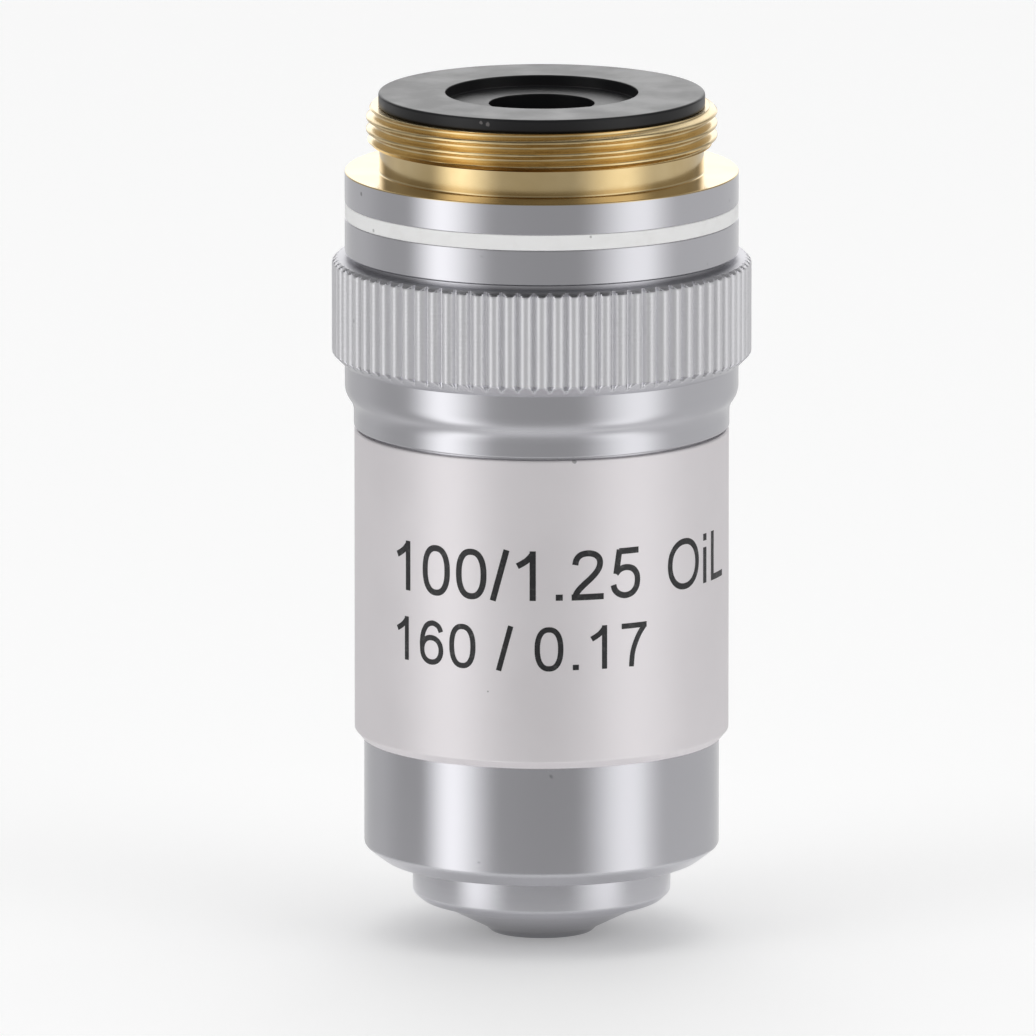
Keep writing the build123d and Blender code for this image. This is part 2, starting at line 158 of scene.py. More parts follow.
def mix(tree, factor, first, second):
    """Mix two colours. A Mix node takes its colours at inputs 6 and 7, and gives output 2."""
    first, second = (c if isinstance(c, Socket) else (*c, 1.0) for c in (first, second))
    inputs = {0: factor, 6: first, 7: second}
    return node(tree, "ShaderNodeMix", {"data_type": "RGBA"}, inputs, output=2)


def split(tree, vector):
    """The x, y and z of a vector."""
    inputs = {"Vector": vector}
    return [node(tree, "ShaderNodeSeparateXYZ", inputs=inputs, output=axis) for axis in range(3)]


# %% [markdown]
# ## Studio
# Polished metal shows its surroundings, so the studio is half of the finish. The picture
# has two tall soft boxes, left and right of the camera, a bright backdrop behind the
# object and a dim room at the camera's side. They could be area lights, but lights near
# the object would reflect differently at each height. Here the whole room is a world
# whose brightness changes with the direction, as if each box were far away and very tall.
# Above the horizon the room is darker, so the upper chamfers stay dark.


# %% Room around the object
DEGREES = 57.3  # in one radian
ROOM, LEFT_BOX, RIGHT_BOX, BACKDROP, BELOW = 0.53, 1.36, 1.09, 1.60, 0.40  # brightness


def direction_parts(tree):
    """The compass angle from the camera's side and the angle above the horizon, in degrees."""
    x, y, z = split(tree, node(tree, "ShaderNodeTexCoord", output=0))
    return x.math("ARCTAN2", y * -1.0) * DEGREES, z.math("ARCSINE") * DEGREES


def between(value, start, full, fade, end):
    """Rise smoothly from start to full and fall again from fade to end."""
    return value.step(start, full) * value.step(fade, end, 1.0, 0.0)


world = bpy.data.worlds.new("studio")
bpy.context.scene.world = world
world.use_nodes = True
room = world.node_tree
room.nodes.clear()
compass, rise = direction_parts(room)
tall = between(rise, -62.0, -38.0, 42.0, 68.0)
left_box = between(compass, -88.0, -62.0, -62.0, -26.0) * tall * LEFT_BOX
right_box = between(compass, 20.0, 58.0, 62.0, 90.0) * tall * RIGHT_BOX
behind = compass.math("ABSOLUTE").step(146.0, 170.0) * rise.step(48.0, 72.0, 1.0, 0.0)
backdrop = behind * rise.step(-4.0, 6.0, 0.10, BACKDROP)
left_wall = compass.step(-42.0, 4.0, 0.06, 0.0) + compass.step(-130.0, -100.0, 0.14, 0.0)
right_wall = compass.step(70.0, 90.0, 0.0, 0.26)
ceiling = rise.step(-4.0, 9.0, 1.0, 0.45) * rise.step(40.0, 72.0, 1.0, 0.35)
below = rise.step(-80.0, -30.0, BELOW, 0.0)
brightness = (ROOM + left_wall + right_wall) * ceiling + left_box + right_box + backdrop + below
background = node(room, "ShaderNodeBackground", inputs={"Strength": brightness})
room_output = room.nodes.new("ShaderNodeOutputWorld")
plug(room, room_output.inputs[0], background)

# %% [markdown]
# The pale floor is a light table: it glows a little, and a wide lamp overhead keeps it
# white, so that it still takes a soft shadow round the tip. The metal sees neither the
# lamp nor the wide floor, because the room above already holds their light. Only a small
# disc of floor under the object shows in the cone and in the lower chamfers, with its
# shadow. The floor is one ring and that disc, in one plane and of one material.

# %% Floor and lamp
UNDER_R, FLOOR_R, FLOOR_SIDES = 0.018, 4.0, 192
floor_material = bpy.data.materials.new("pale_floor")
floor_material.use_nodes = True
floor_shader = floor_material.node_tree.nodes["Principled BSDF"]
floor_shader.inputs["Base Color"].default_value = (0.9, 0.9, 0.9, 1.0)
floor_shader.inputs["Roughness"].default_value = 0.9
floor_shader.inputs["Specular IOR Level"].default_value = 0.1
floor_shader.inputs["Emission Color"].default_value = (1.0, 1.0, 1.0, 1.0)
floor_shader.inputs["Emission Strength"].default_value = 0.20


def floor_piece(name, points, faces, seen_in_metal):
    """Add one part of the floor, and choose whether the metal reflects it."""
    mesh = bpy.data.meshes.new(name)
    mesh.from_pydata(points, [], faces)
    mesh.materials.append(floor_material)
    piece = bpy.data.objects.new(name, mesh)
    bpy.context.scene.collection.objects.link(piece)
    piece.visible_glossy = seen_in_metal


spokes = [2 * math.pi * side / FLOOR_SIDES for side in range(FLOOR_SIDES)]
inner, outer = (
    [(radius * math.cos(a), radius * math.sin(a), 0.0) for a in spokes]
    for radius in (UNDER_R, FLOOR_R)
)
ring_faces = [
    (k, k + FLOOR_SIDES, (k + 1) % FLOOR_SIDES + FLOOR_SIDES, (k + 1) % FLOOR_SIDES)
    for k in range(FLOOR_SIDES)
]
floor_piece("floor_wide", inner + outer, ring_faces, False)
floor_piece("floor_under", inner, [tuple(range(FLOOR_SIDES))], True)

lamp_data = bpy.data.lights.new("overhead_lamp", "AREA")
lamp_data.size = 1.6
lamp_data.energy = 9.3
lamp = bpy.data.objects.new("overhead_lamp", lamp_data)
lamp.location = (0.0, 0.0, 1.2)
lamp.visible_glossy = False
lamp.visible_camera = False
bpy.context.scene.collection.objects.link(lamp)
print("floor from", UNDER_R, "to", FLOOR_R, "m, lamp of", lamp_data.energy, "W")


# %% [markdown]
# ## Finishes
# Each finish is one function of the same kind: a metallic or a plain base, a roughness
# that wanders a little, and a bump for the tool marks. A lathe leaves fine rings, which
# run round the axis and differ only with height. Such rings spread a reflection up and
# down but not sideways, and that is why the real parts show upright bands of light. The
# shader's anisotropy does the same, without modelling thousands of grooves.


# %% Finish helper
def finish(name, colour, metallic, roughness, anisotropy=0.0, coat=0.0, ior=1.5):
    """Start a material and return it with its tree, its shader and the surface's place."""
    material = bpy.data.materials.new(name)
    material.use_nodes = True
    tree = material.node_tree
    shader = tree.nodes["Principled BSDF"]
    shader.inputs["Base Color"].default_value = (*colour, 1.0)
    shader.inputs["Metallic"].default_value = metallic
    shader.inputs["Roughness"].default_value = roughness
    shader.inputs["Anisotropic"].default_value = anisotropy
    shader.inputs["Anisotropic Rotation"].default_value = 0.25
    shader.inputs["Coat Weight"].default_value = coat
    shader.inputs["IOR"].default_value = ior
    place = node(tree, "ShaderNodeTexCoord", output=3)
    return material, tree, shader, place


# %% Noise, bumps and marks
def noise(tree, place, scale, detail, stretch=(1.0, 1.0, 1.0)):
    """Noise from 0 to 1 on the object's own coordinates, in cells per metre."""
    spread = node(
        tree, "ShaderNodeVectorMath", {"operation": "MULTIPLY"}, {0: place, 1: stretch}
    )
    inputs = {"Vector": spread, "Scale": scale, "Detail": detail, "Roughness": 0.5}
    return node(tree, "ShaderNodeTexNoise", inputs=inputs)


def turned_rings(tree, place, scale=5200.0):
    """The fine rings that a lathe tool leaves, as a height from 0 to 1."""
    return noise(tree, place, scale, 2.0, (0.02, 0.02, 1.0))


def bump(tree, shader, height, depth):
    """Feed a height to the shader as a bump, with its depth in micrometres."""
    inputs = {"Height": height, "Distance": depth * MICRON, "Strength": 1.0}
    plug(tree, shader.inputs["Normal"], node(tree, "ShaderNodeBump", inputs=inputs))


def colour_by(tree, shader, factor, first, second):
    """Mix two colours and make the result the base colour."""
    plug(tree, shader.inputs["Base Color"], mix(tree, factor, first, second))


def marks(tree, place, *spots):
    """Small ragged marks at (x, y, z, radius) in millimetres, as a mask from 0 to 1."""
    masks = []
    for x, y, z, radius in spots:
        inputs = {0: place, 1: (x * MM, y * MM, z * MM)}
        away = node(tree, "ShaderNodeVectorMath", {"operation": "DISTANCE"}, inputs, output=1)
        ragged = away + (noise(tree, place, 5000.0, 2.0) - 0.5) * (radius * MM)
        masks.append(ragged.step(radius * 0.5 * MM, radius * MM, 1.0, 0.0))
    return sum(masks)


# %% [markdown]
# Bright plating covers the collar, the grip ring, the nose and the cap. It is chrome over
# turned brass: the rings of the tool still show through it, and here and there is a speck.
# The cone is painted darker towards the tip: painted shade, for the shadow it reflects.
# The satin sleeve has the same plating over a blasted surface, so its grain has no
# direction. The few marks of use sit at fixed places, where the photograph shows them.


# %% Bright plating and satin plating
def bright_plating(name, colour, roughness, anisotropy):
    """Plating over turned brass, with its tree, shader, place, tone and roughness."""
    material, tree, shader, place = finish(name, colour, 1.0, roughness, anisotropy)
    cloud = noise(tree, place, 240.0, 3.0)
    specks = noise(tree, place, 1500.0, 1.0).step(0.80, 0.86)
    gloss = cloud.step(0.3, 0.7, roughness - 0.02, roughness + 0.03)
    tone = mix(tree, cloud.step(0.3, 0.7), tuple(0.96 * c for c in colour), colour)
    tone = mix(tree, specks * 0.5, tone, tuple(0.4 * c for c in colour))
    plug(tree, shader.inputs["Roughness"], gloss)
    plug(tree, shader.inputs["Base Color"], tone)
    return material, tree, shader, place, tone, gloss


plate_nose, tree, shader, place, tone, _ = bright_plating(
    "nose_plate", (0.62, 0.617, 0.65), 0.22, 0.85
)
height = split(tree, place)[2] / MM
# Painted shade: the cone's colour darkens towards the tip, standing for the shadow under it that
# the cone reflects.
tip_shade_painted = height.step(0.3, 1.9, 0.55, 0.0)
colour_by(tree, shader, tip_shade_painted, tone, (0.16, 0.16, 0.17))
bump(tree, shader, turned_rings(tree, place), 1.0)

plate_satin, tree, shader, place = finish("sleeve_satin", (0.9, 0.87, 0.89), 0.6, 0.5)
grain = noise(tree, place, 14000.0, 2.0)
haze = noise(tree, place, 160.0, 3.0)
plug(tree, shader.inputs["Roughness"], haze.step(0.3, 0.7, 0.47, 0.53))
tone = mix(tree, haze.step(0.25, 0.75), (0.88, 0.845, 0.865), (0.92, 0.885, 0.905))
worn = marks(tree, place, (1.88, -10.69, 29.66, 0.16), (-3.1, -10.4, 16.1, 0.07))
colour_by(tree, shader, worn * 0.6, tone, (0.2, 0.2, 0.2))
bump(tree, shader, grain, 2.0)

# %% [markdown]
# The grip ring has that plating too, but its teeth were rolled and not polished: they are
# paler and duller, with fine marks across. The corner above them, under the collar, is
# painted darker and made rougher: painted shade.

# %% Plating of the grip ring
ACROSS = 0.26  # mm between the fine marks across the teeth
plate_grip, tree, shader, place, tone, gloss = bright_plating(
    "grip_plate", (0.64, 0.637, 0.67), 0.24, 0.6
)
x, y, height = (part / MM for part in split(tree, place))
from_axis = (x * x + y * y) ** 0.5
rolled = from_axis.step(11.42, 11.6) * between(height, 34.15, 34.3, 39.42, 39.52)
# Painted shade: the ring's top face in the corner under the collar is darkened, and made rougher.
corner = between(from_axis, 9.9, 10.2, 11.85, 12.0) * height.step(39.45, 39.6)
pale = mix(tree, rolled, tone, (0.81, 0.807, 0.83))
dents = marks(tree, place, (-10.75, -5.4, 36.9, 0.2), (-10.3, -6.1, 36.45, 0.22))
pale = mix(tree, dents * 0.4, pale, (0.2, 0.2, 0.21))
colour_by(tree, shader, corner * 0.1, pale, (0.10, 0.10, 0.11))
plug(tree, shader.inputs["Metallic"], 1.0 - rolled * 0.4)
plug(tree, shader.inputs["Roughness"], gloss + rolled * 0.24 + corner * 0.2)
across = (height * (2 * math.pi / ACROSS)).math("SINE")
bump(tree, shader, turned_rings(tree, place) + across * rolled * 1.5, 2.0)

# %% [markdown]
# The mount is one turned part with two finishes. Its plating stops at the rim of the
# seat, and the seat, the neck and the thread are bare brass. A second piece could be made
# for the bare end, but the real one is whole, so one material changes with the height.
# The neck is a little smoother than the rest.

# %% Brass mount with a plated collar
mount_finish, tree, shader, place, plated, gloss = bright_plating(
    "mount_brass", (0.63, 0.627, 0.66), 0.2, 0.85
)
height = split(tree, place)[2] / MM
cloud = noise(tree, place, 300.0, 3.0)
bare = height.step(SEAT_Z - 0.10, SEAT_Z - 0.04)
brass = mix(tree, cloud.step(0.3, 0.7), (0.70, 0.53, 0.27), (0.80, 0.63, 0.35))
chips = marks(tree, place, (-10.41, -4.65, 44.21, 0.16), (11.22, -2.02, 43.08, 0.14))
metal = mix(tree, bare, plated, brass)
colour_by(tree, shader, chips * 0.6, metal, (0.15, 0.15, 0.15))
on_neck = bare * height.step(NECK_Z - 0.1, NECK_Z, 1.0, 0.0)
plug(tree, shader.inputs["Roughness"], gloss - on_neck * 0.07)
bump(tree, shader, turned_rings(tree, place), 1.0)

# %% [markdown]
# The rest are simple coats: white enamel in its groove, black anodising on the rear stop,
# black paint in the figures, blackened brass on the lens cells, plain turned brass,
# drawn steel wire, and glass with a thin coating.

# %% Enamel, anodising and paint
enamel, tree, shader, place = finish("band_enamel", (0.86, 0.86, 0.855), 0.0, 0.3, coat=0.4)
smear = noise(tree, place, 700.0, 4.0)
white = mix(tree, smear.step(0.45, 0.9), (0.98, 0.98, 0.975), (0.89, 0.88, 0.87))
chips = marks(tree, place, (-9.71, -5.97, 42.3, 0.13), (2.81, -11.05, 42.85, 0.1))
colour_by(tree, shader, chips * 0.6, white, (0.3, 0.3, 0.29))
bump(tree, shader, smear, 4.0)

anodised, tree, shader, place = finish("stop_anodised", (0.012, 0.012, 0.013), 0.0, 0.32)
shader.inputs["Specular IOR Level"].default_value = 0.33
dust = noise(tree, place, 2600.0, 2.0).step(0.76, 0.84)
dust = dust + marks(tree, place, (-3.5, -8.78, 49.1, 0.13), (-3.1, -8.93, 49.05, 0.16))
colour_by(tree, shader, dust, (0.012, 0.012, 0.013), (0.14, 0.13, 0.13))
cloud = noise(tree, place, 400.0, 3.0)
plug(tree, shader.inputs["Roughness"], cloud.step(0.3, 0.7, 0.28, 0.36))
bump(tree, shader, noise(tree, place, 9000.0, 2.0), 3.0)

paint, tree, shader, place = finish("figure_paint", (0.02, 0.02, 0.022), 0.0, 0.45)
wear = noise(tree, place, 3500.0, 3.0).step(0.5, 0.9)
colour_by(tree, shader, wear, (0.015, 0.015, 0.017), (0.09, 0.09, 0.09))

# %% Inner brass and steel wire
blackened, tree, shader, place = finish("cell_black", (0.03, 0.028, 0.027), 0.35, 0.5)
cloud = noise(tree, place, 900.0, 3.0).step(0.3, 0.8)
colour_by(tree, shader, cloud, (0.022, 0.021, 0.021), (0.06, 0.05, 0.042))
bump(tree, shader, turned_rings(tree, place, 6000.0), 4.0)

inner_brass, tree, shader, place = finish("inner_brass", (0.8, 0.6, 0.3), 1.0, 0.3, 0.6)
cloud = noise(tree, place, 500.0, 3.0).step(0.3, 0.7)
colour_by(tree, shader, cloud, (0.76, 0.56, 0.27), (0.86, 0.66, 0.36))
bump(tree, shader, turned_rings(tree, place, 6000.0), 3.0)

wire_steel, tree, shader, place = finish("drawn_wire", (0.56, 0.56, 0.57), 1.0, 0.28)
cloud = noise(tree, place, 1200.0, 3.0)
plug(tree, shader.inputs["Roughness"], cloud.step(0.3, 0.7, 0.22, 0.36))
bump(tree, shader, cloud, 4.0)


# %% Lens glass
def glass(name, colour, ior):
    """Clear lens glass with a faint coating."""
    material, tree, shader, place = finish(name, colour, 0.0, 0.02, ior=ior, coat=0.3)
    shader.inputs["Transmission Weight"].default_value = 1.0
    film = noise(tree, place, 500.0, 1.0)
    plug(tree, shader.inputs["Roughness"], film.step(0.3, 0.7, 0.01, 0.03))
    return material


crown_glass = glass("crown_glass", (0.97, 0.99, 0.985), 1.52)
flint_glass = glass("flint_glass", (0.985, 0.985, 0.96), 1.65)
print("finishes:", len(bpy.data.materials))


# %% [markdown]
# ## Turned pieces
# Everything here was made on a lathe, so one helper turns a drawn outline about the axis.
# Real edges are never quite sharp: each corner can carry a small radius, which catches a
# line of light. Next to each corner the outline gets one more point, so that the soft
# shading of the corner doesn't spill over the flat beside it.


# %% Soften the corners of an outline
ARC_POINTS = 4
ARC_SHARE = 0.42  # the most that an arc may take of the side next to it
GUARD = 0.03  # mm from a corner to its extra point


def softened(outline):
    """Round the corners of a closed outline of (radius, height, corner radius)."""
    result = []
    count = len(outline)
    for index in range(count):
        here = Vector(outline[index][:2])
        size = outline[index][2] if len(outline[index]) > 2 else 0.0
        back = Vector(outline[index - 1][:2]) - here
        ahead = Vector(outline[(index + 1) % count][:2]) - here
        turn = math.pi - back.angle(ahead)
        shorter = min(back.length, ahead.length)
        reach = min(size * math.tan(turn / 2), ARC_SHARE * shorter)
        if reach < 1e-4:
            result.append((here, None))
            continue
        back.normalize()
        ahead.normalize()
        radius = reach / math.tan(turn / 2)
        centre = here + (back + ahead).normalized() * (radius / math.cos(turn / 2))
        start = here + back * reach - centre
        end = here + ahead * reach - centre
        for step in range(ARC_POINTS + 1):
            share = step / ARC_POINTS
            spoke = start * math.sin((1 - share) * turn) + end * math.sin(share * turn)
            result.append((centre + spoke / math.sin(turn), step))
    guarded = []
    for index, (point, arc_step) in enumerate(result):
        following = result[(index + 1) % len(result)][0]
        guarded.append(point)
        inside_arc = arc_step is not None and arc_step < ARC_POINTS
        run = following - point
        if inside_arc or run.length < 4 * GUARD:
            continue
        guarded.append(point + run.normalized() * GUARD)
        guarded.append(following - run.normalized() * GUARD)
    return [(p.x, p.y) for p in guarded]


def outwards(outline):
    """Put an outline in the order whose faces point away from the metal."""
    area = sum(
        a[0] * b[1] - b[0] * a[1] for a, b in zip(outline, outline[1:] + outline[:1])
    )
    return outline if area > 0 else outline[::-1]


# %% Finish a mesh as a piece
SHARP = math.radians(32)  # an edge that turns more than this isn't smoothed


def new_piece(name, mesh, material, body, slot, *nodes):
    """Finish a mesh as a piece: smooth shading, material, body and what it replaces. The slot is
    not used.
    """
    mesh.shade_smooth()
    mesh.set_sharp_from_angle(angle=SHARP)
    if not mesh.materials:
        mesh.materials.append(material)
    piece = bpy.data.objects.new(name, mesh)
    bpy.context.scene.collection.objects.link(piece)
    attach(piece, body)
    if nodes:
        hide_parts(*nodes)
    print(name, "faces:", len(mesh.polygons))
    return piece


# %% Turn an outline about the axis
def finer(outline, least_r, least_z, spacing, longest=math.inf):
    """Add points along the edges of a closed outline that lie beyond a radius and a height."""
    rows = []
    for (r1, z1), (r2, z2) in zip(outline, outline[1:] + outline[:1]):
        beyond = min(r1, r2) > least_r and min(z1, z2) > least_z and abs(z2 - z1) < longest
        pieces = max(1, round(math.hypot(r2 - r1, z2 - z1) / spacing)) if beyond else 1
        for step in range(pieces):
            rows.append((r1 + (r2 - r1) * step / pieces, z1 + (z2 - z1) * step / pieces))
    return rows


def around(radius, angle, height):
    """The point in metres at a radius, an angle and a height in millimetres."""
    return radius * math.cos(angle) * MM, radius * math.sin(angle) * MM, height * MM


def turned_mesh(name, outline, columns=256):
    """Turn an outline about Z."""
    points, faces, rings = [], [], []
    for radius, height in outwards(outline):
        if radius < 1e-6:
            rings.append([len(points)] * columns)
            points.append((0.0, 0.0, height * MM))
            continue
        rings.append(list(range(len(points), len(points) + columns)))
        for column in range(columns):
            points.append(around(radius, 2 * math.pi * column / columns, height))
    for low, high in zip(rings, rings[1:] + rings[:1]):
        if low[0] == low[1] and high[0] == high[1]:
            continue
        for column in range(columns):
            after = (column + 1) % columns
            corners = (low[column], low[after], high[after], high[column])
            faces.append(tuple(dict.fromkeys(corners)))
    mesh = bpy.data.meshes.new(name)
    mesh.from_pydata(points, [], faces)
    mesh.update()
    return mesh


def turned_piece(name, outline, *rest):
    """Soften an outline, turn it and finish it as a piece."""
    return new_piece(name, turned_mesh(name, softened(outline)), *rest)


# %% [markdown]
# ## Nose barrel and front cap
# The nose is one polished tube with a wide chamfer at its foot. Above its shoulder a
# narrow neck tube runs up inside the mount. The cap screws into the foot: a plain ring, a
# cone and the flat tip that nearly touches the slide. Both outlines repeat the sizes of
# the solid model, in millimetres, with the small radii that polishing leaves.

# %% Nose barrel
nose_outline = [
    (6.0, CAP_TOP, 0.05),
    (9.28, CAP_TOP, 0.12),
    (10.3, 5.17, 0.35),
    (10.3, 23.5, 0.1),
    (6.5, 23.5, 0.0),
    (6.5, 36.0, 0.1),
    (5.0, 36.0, 0.1),
    (5.0, 19.99, 0.0),
    (6.0, 19.99, 0.0),
]
turned_piece(
    "polished_nose", nose_outline, plate_nose, "sprung_nose", "nose_chrome", "nose_barrel"
)

# %% Front cap
cap_outline = [
    (0.97, 0.0, 0.04),
    (3.0, 0.0, 0.12),
    (3.3, 0.3, 0.3),
    (6.6, 1.97, 0.1),
    (7.05, 1.97, 0.25),
    (7.5, 2.38, 0.3),
    (7.5, CAP_TOP, 0.0),
    (5.98, CAP_TOP, 0.0),
    (5.98, 8.55, 0.05),
    (4.52, 8.55, 0.05),
    (4.52, 2.0, 0.0),
    (1.6, 2.0, 0.05),
    (0.8, 0.872, 0.0),
    (0.97, 0.872, 0.0),
]
turned_piece(
    "front_cap_cone", cap_outline, plate_nose, "sprung_nose", "nose_chrome", "front_cap"
)

# %% [markdown]
# The front lens is a little more than half of a ball, set almost flush in the tip. Its
# flat face looks at the slide. It is turned from the same kind of outline, but with a
# point on the axis at each end, so that both poles are closed.

# %% Front lens
BALL_R, BALL_Z, FLAT_Z = 0.95, 0.35, 0.05
BALL_STEPS = 24
flat_r = math.sqrt(BALL_R**2 - (BALL_Z - FLAT_Z) ** 2)
start = math.atan2(FLAT_Z - BALL_Z, flat_r)
ball = [(0.0, FLAT_Z), (flat_r * 0.5, FLAT_Z), (flat_r - 0.02, FLAT_Z)]
for step in range(BALL_STEPS):
    angle = start + (math.pi / 2 - start) * step / BALL_STEPS
    ball.append((BALL_R * math.cos(angle), BALL_Z + BALL_R * math.sin(angle)))
ball.append((0.0, BALL_Z + BALL_R))
new_piece(
    "front_lens_ball",
    turned_mesh("front_lens_ball", ball, columns=96),
    crown_glass,
    "sprung_nose",
    "lens_glass",
    "front_lens",
)

# %% [markdown]
# ## Marked sleeve
# A thin satin tube slides over the spigot of the grip ring. Its lower edge has a chamfer
# that leaves a fine shadow line above the polished nose.

# %% Sleeve
sleeve_outline = [
    (10.35, 11.55, 0.03),
    (10.45, 11.55, 0.05),
    (SLEEVE_R, 12.01, 0.15),
    (SLEEVE_R, SLEEVE_TOP, 0.12),
    (10.35, SLEEVE_TOP, 0.0),
]
turned_piece(
    "satin_sleeve", sleeve_outline, plate_satin, "outer_body", "sleeve_satin", "barrel_sleeve"
)


# %% [markdown]
# ## Knurled grip ring
# The ring is held by 80 straight teeth. They could be cut one by one, but they are all
# alike, so one narrow sector is drawn and Geometry Nodes repeat it round the axis. In a
# sector the radius at each point is the smaller of two: the turned outline, and the shape
# of a groove. Where a chamfer dips under the bottom of the groove, the groove runs out by
# itself, as a real knurl does. Both chamfers are a little smaller than in the solid model,
# and the curve under the shoulder is rounder, because the photograph shows them so.

# %% One sector of the grip ring
TEETH = 80
GROOVE_FLOOR = 11.80
KNURL_R = 12.15
TEETH_FROM_R, TEETH_FROM_Z = 11.3, 33.4
CHAMFER_STEP = 0.11
ring_outline = [
    (6.55, 25.9, 0.05),
    (10.33, 25.9, 0.1),
    (10.33, SLEEVE_TOP, 0.0),
    (10.55, SLEEVE_TOP, 0.0),
    (10.55, 29.85, 0.0),
    (10.88, 29.85, 0.1),
    (10.88, 31.08, 1.2),
    (11.4, 31.85, 1.2),
    (11.4, 33.56, 0.03),
    (11.5, 33.56, 0.03),
    (KNURL_R, 34.22, 0.1),
    (KNURL_R, 39.43, 0.1),
    (11.88, RING_TOP, 0.05),
    (9.9, RING_TOP, 0.08),
    (9.9, 28.1, 0.05),
    (6.55, 28.1, 0.05),
]
turned = outwards(softened(ring_outline))
rows = finer(turned, TEETH_FROM_R, TEETH_FROM_Z + 0.1, CHAMFER_STEP, longest=1.0)

# A tooth: a round back, a straight wall down to the groove, and a narrow flat floor.
BACK_R = 0.42
WALL_FOOT = 0.44
half_pitch = math.pi / TEETH
half_tooth = []
for away in (0.06, 0.18, 0.28, 0.36):
    half_tooth.append((away / KNURL_R, KNURL_R - BACK_R + math.sqrt(BACK_R**2 - away**2)))
half_tooth += [(WALL_FOOT / KNURL_R, GROOVE_FLOOR), (half_pitch, GROOVE_FLOOR)]
sector_columns = [(-angle, r) for angle, r in reversed(half_tooth)] + half_tooth
points, faces = [], []
for radius, height in rows:
    toothed = radius > TEETH_FROM_R and height > TEETH_FROM_Z
    for angle, groove in sector_columns:
        points.append(around(min(radius, groove) if toothed else radius, angle, height))
wide = len(sector_columns)
for row in range(len(rows)):
    above = (row + 1) % len(rows)
    for column in range(wide - 1):
        here, over = row * wide + column, above * wide + column
        faces.append((here, here + 1, over + 1, over))
sector_mesh = bpy.data.meshes.new("sector")
sector_mesh.from_pydata(points, [], faces)
sector_mesh.update()
print("sector faces:", len(faces))


# %% [markdown]
# Geometry Nodes work on a tree of their own, with named inputs, so that a reader can
# change the number of teeth. A small function makes the tree's sockets and applies the
# result as a plain mesh, because the repeated copies have to be real faces in the end.


# %% Geometry Nodes helpers
def new_tree(name, values):
    """Start a Geometry Nodes tree with a geometry input and one named input per value."""
    tree = bpy.data.node_groups.new(name, "GeometryNodeTree")
    tree.interface.new_socket("Geometry", in_out="INPUT", socket_type="NodeSocketGeometry")
    for label, value in values.items():
        kind = "NodeSocketInt" if isinstance(value, int) else "NodeSocketFloat"
        tree.interface.new_socket(label, in_out="INPUT", socket_type=kind)
    tree.interface.new_socket("Geometry", in_out="OUTPUT", socket_type="NodeSocketGeometry")
    start = tree.nodes.new("NodeGroupInput")
    given = {socket.name: Socket(tree, socket) for socket in start.outputs if socket.name}
    return tree, given


def close_tree(tree, geometry, material):
    """End a tree: make the copies real, give them their material, and send them out."""
    real = node(tree, "GeometryNodeRealizeInstances", inputs={"Geometry": geometry})
    inputs = {"Geometry": real, "Material": material}
    painted = node(tree, "GeometryNodeSetMaterial", inputs=inputs)
    end = tree.nodes.new("NodeGroupOutput")
    plug(tree, end.inputs[0], painted)


def made_by(tree, start_mesh, values, name):
    """Run a tree on a mesh, with its inputs set by name, and return the plain result."""
    holder = bpy.data.objects.new(name, start_mesh)
    bpy.context.scene.collection.objects.link(holder)
    modifier = holder.modifiers.new(name, "NODES")
    modifier.node_group = tree
    for item in tree.interface.items_tree:
        if item.item_type == "SOCKET" and item.in_out == "INPUT" and item.name in values:
            modifier[item.identifier] = values[item.name]
    evaluated = holder.evaluated_get(bpy.context.evaluated_depsgraph_get())
    mesh = bpy.data.meshes.new_from_object(evaluated)
    mesh.name = name
    bpy.data.objects.remove(holder)
    return mesh


# %% Repeat the sector round the axis
repeat_values = {"Copies": TEETH, "Merge distance": 4.0 * MICRON}
tree, given = new_tree("repeat_round_axis", repeat_values)
spots = node(tree, "GeometryNodePoints", inputs={"Count": given["Copies"]})
number = node(tree, "GeometryNodeInputIndex")
turn = number * (2 * math.pi) / given["Copies"]
facing = node(
    tree,
    "FunctionNodeAxisAngleToRotation",
    inputs={"Axis": (0.0, 0.0, 1.0), "Angle": turn},
)
copies = node(
    tree,
    "GeometryNodeInstanceOnPoints",
    inputs={"Points": spots, "Instance": given["Geometry"], "Rotation": facing},
)
joined = node(tree, "GeometryNodeRealizeInstances", inputs={"Geometry": copies})
welded = node(
    tree,
    "GeometryNodeMergeByDistance",
    inputs={"Geometry": joined, "Distance": given["Merge distance"]},
)
close_tree(tree, welded, plate_grip)
grip_mesh = made_by(tree, sector_mesh, repeat_values, "knurled_grip")
new_piece("knurled_grip", grip_mesh, plate_grip, "outer_body", "grip_chrome", "grip_ring")

# %% [markdown]
# ## Threaded mount
# The thread is the standard one of microscopes: 36 turns to the inch, 0.8 inch across.
# The solid model has a plain cylinder there. Here the outline is turned with many rows,
# and Geometry Nodes press a helical groove into them: at each point the height less the
# turned angle tells how deep the groove is. The chamfers at both ends stay, because the
# rule only ever makes the radius smaller.

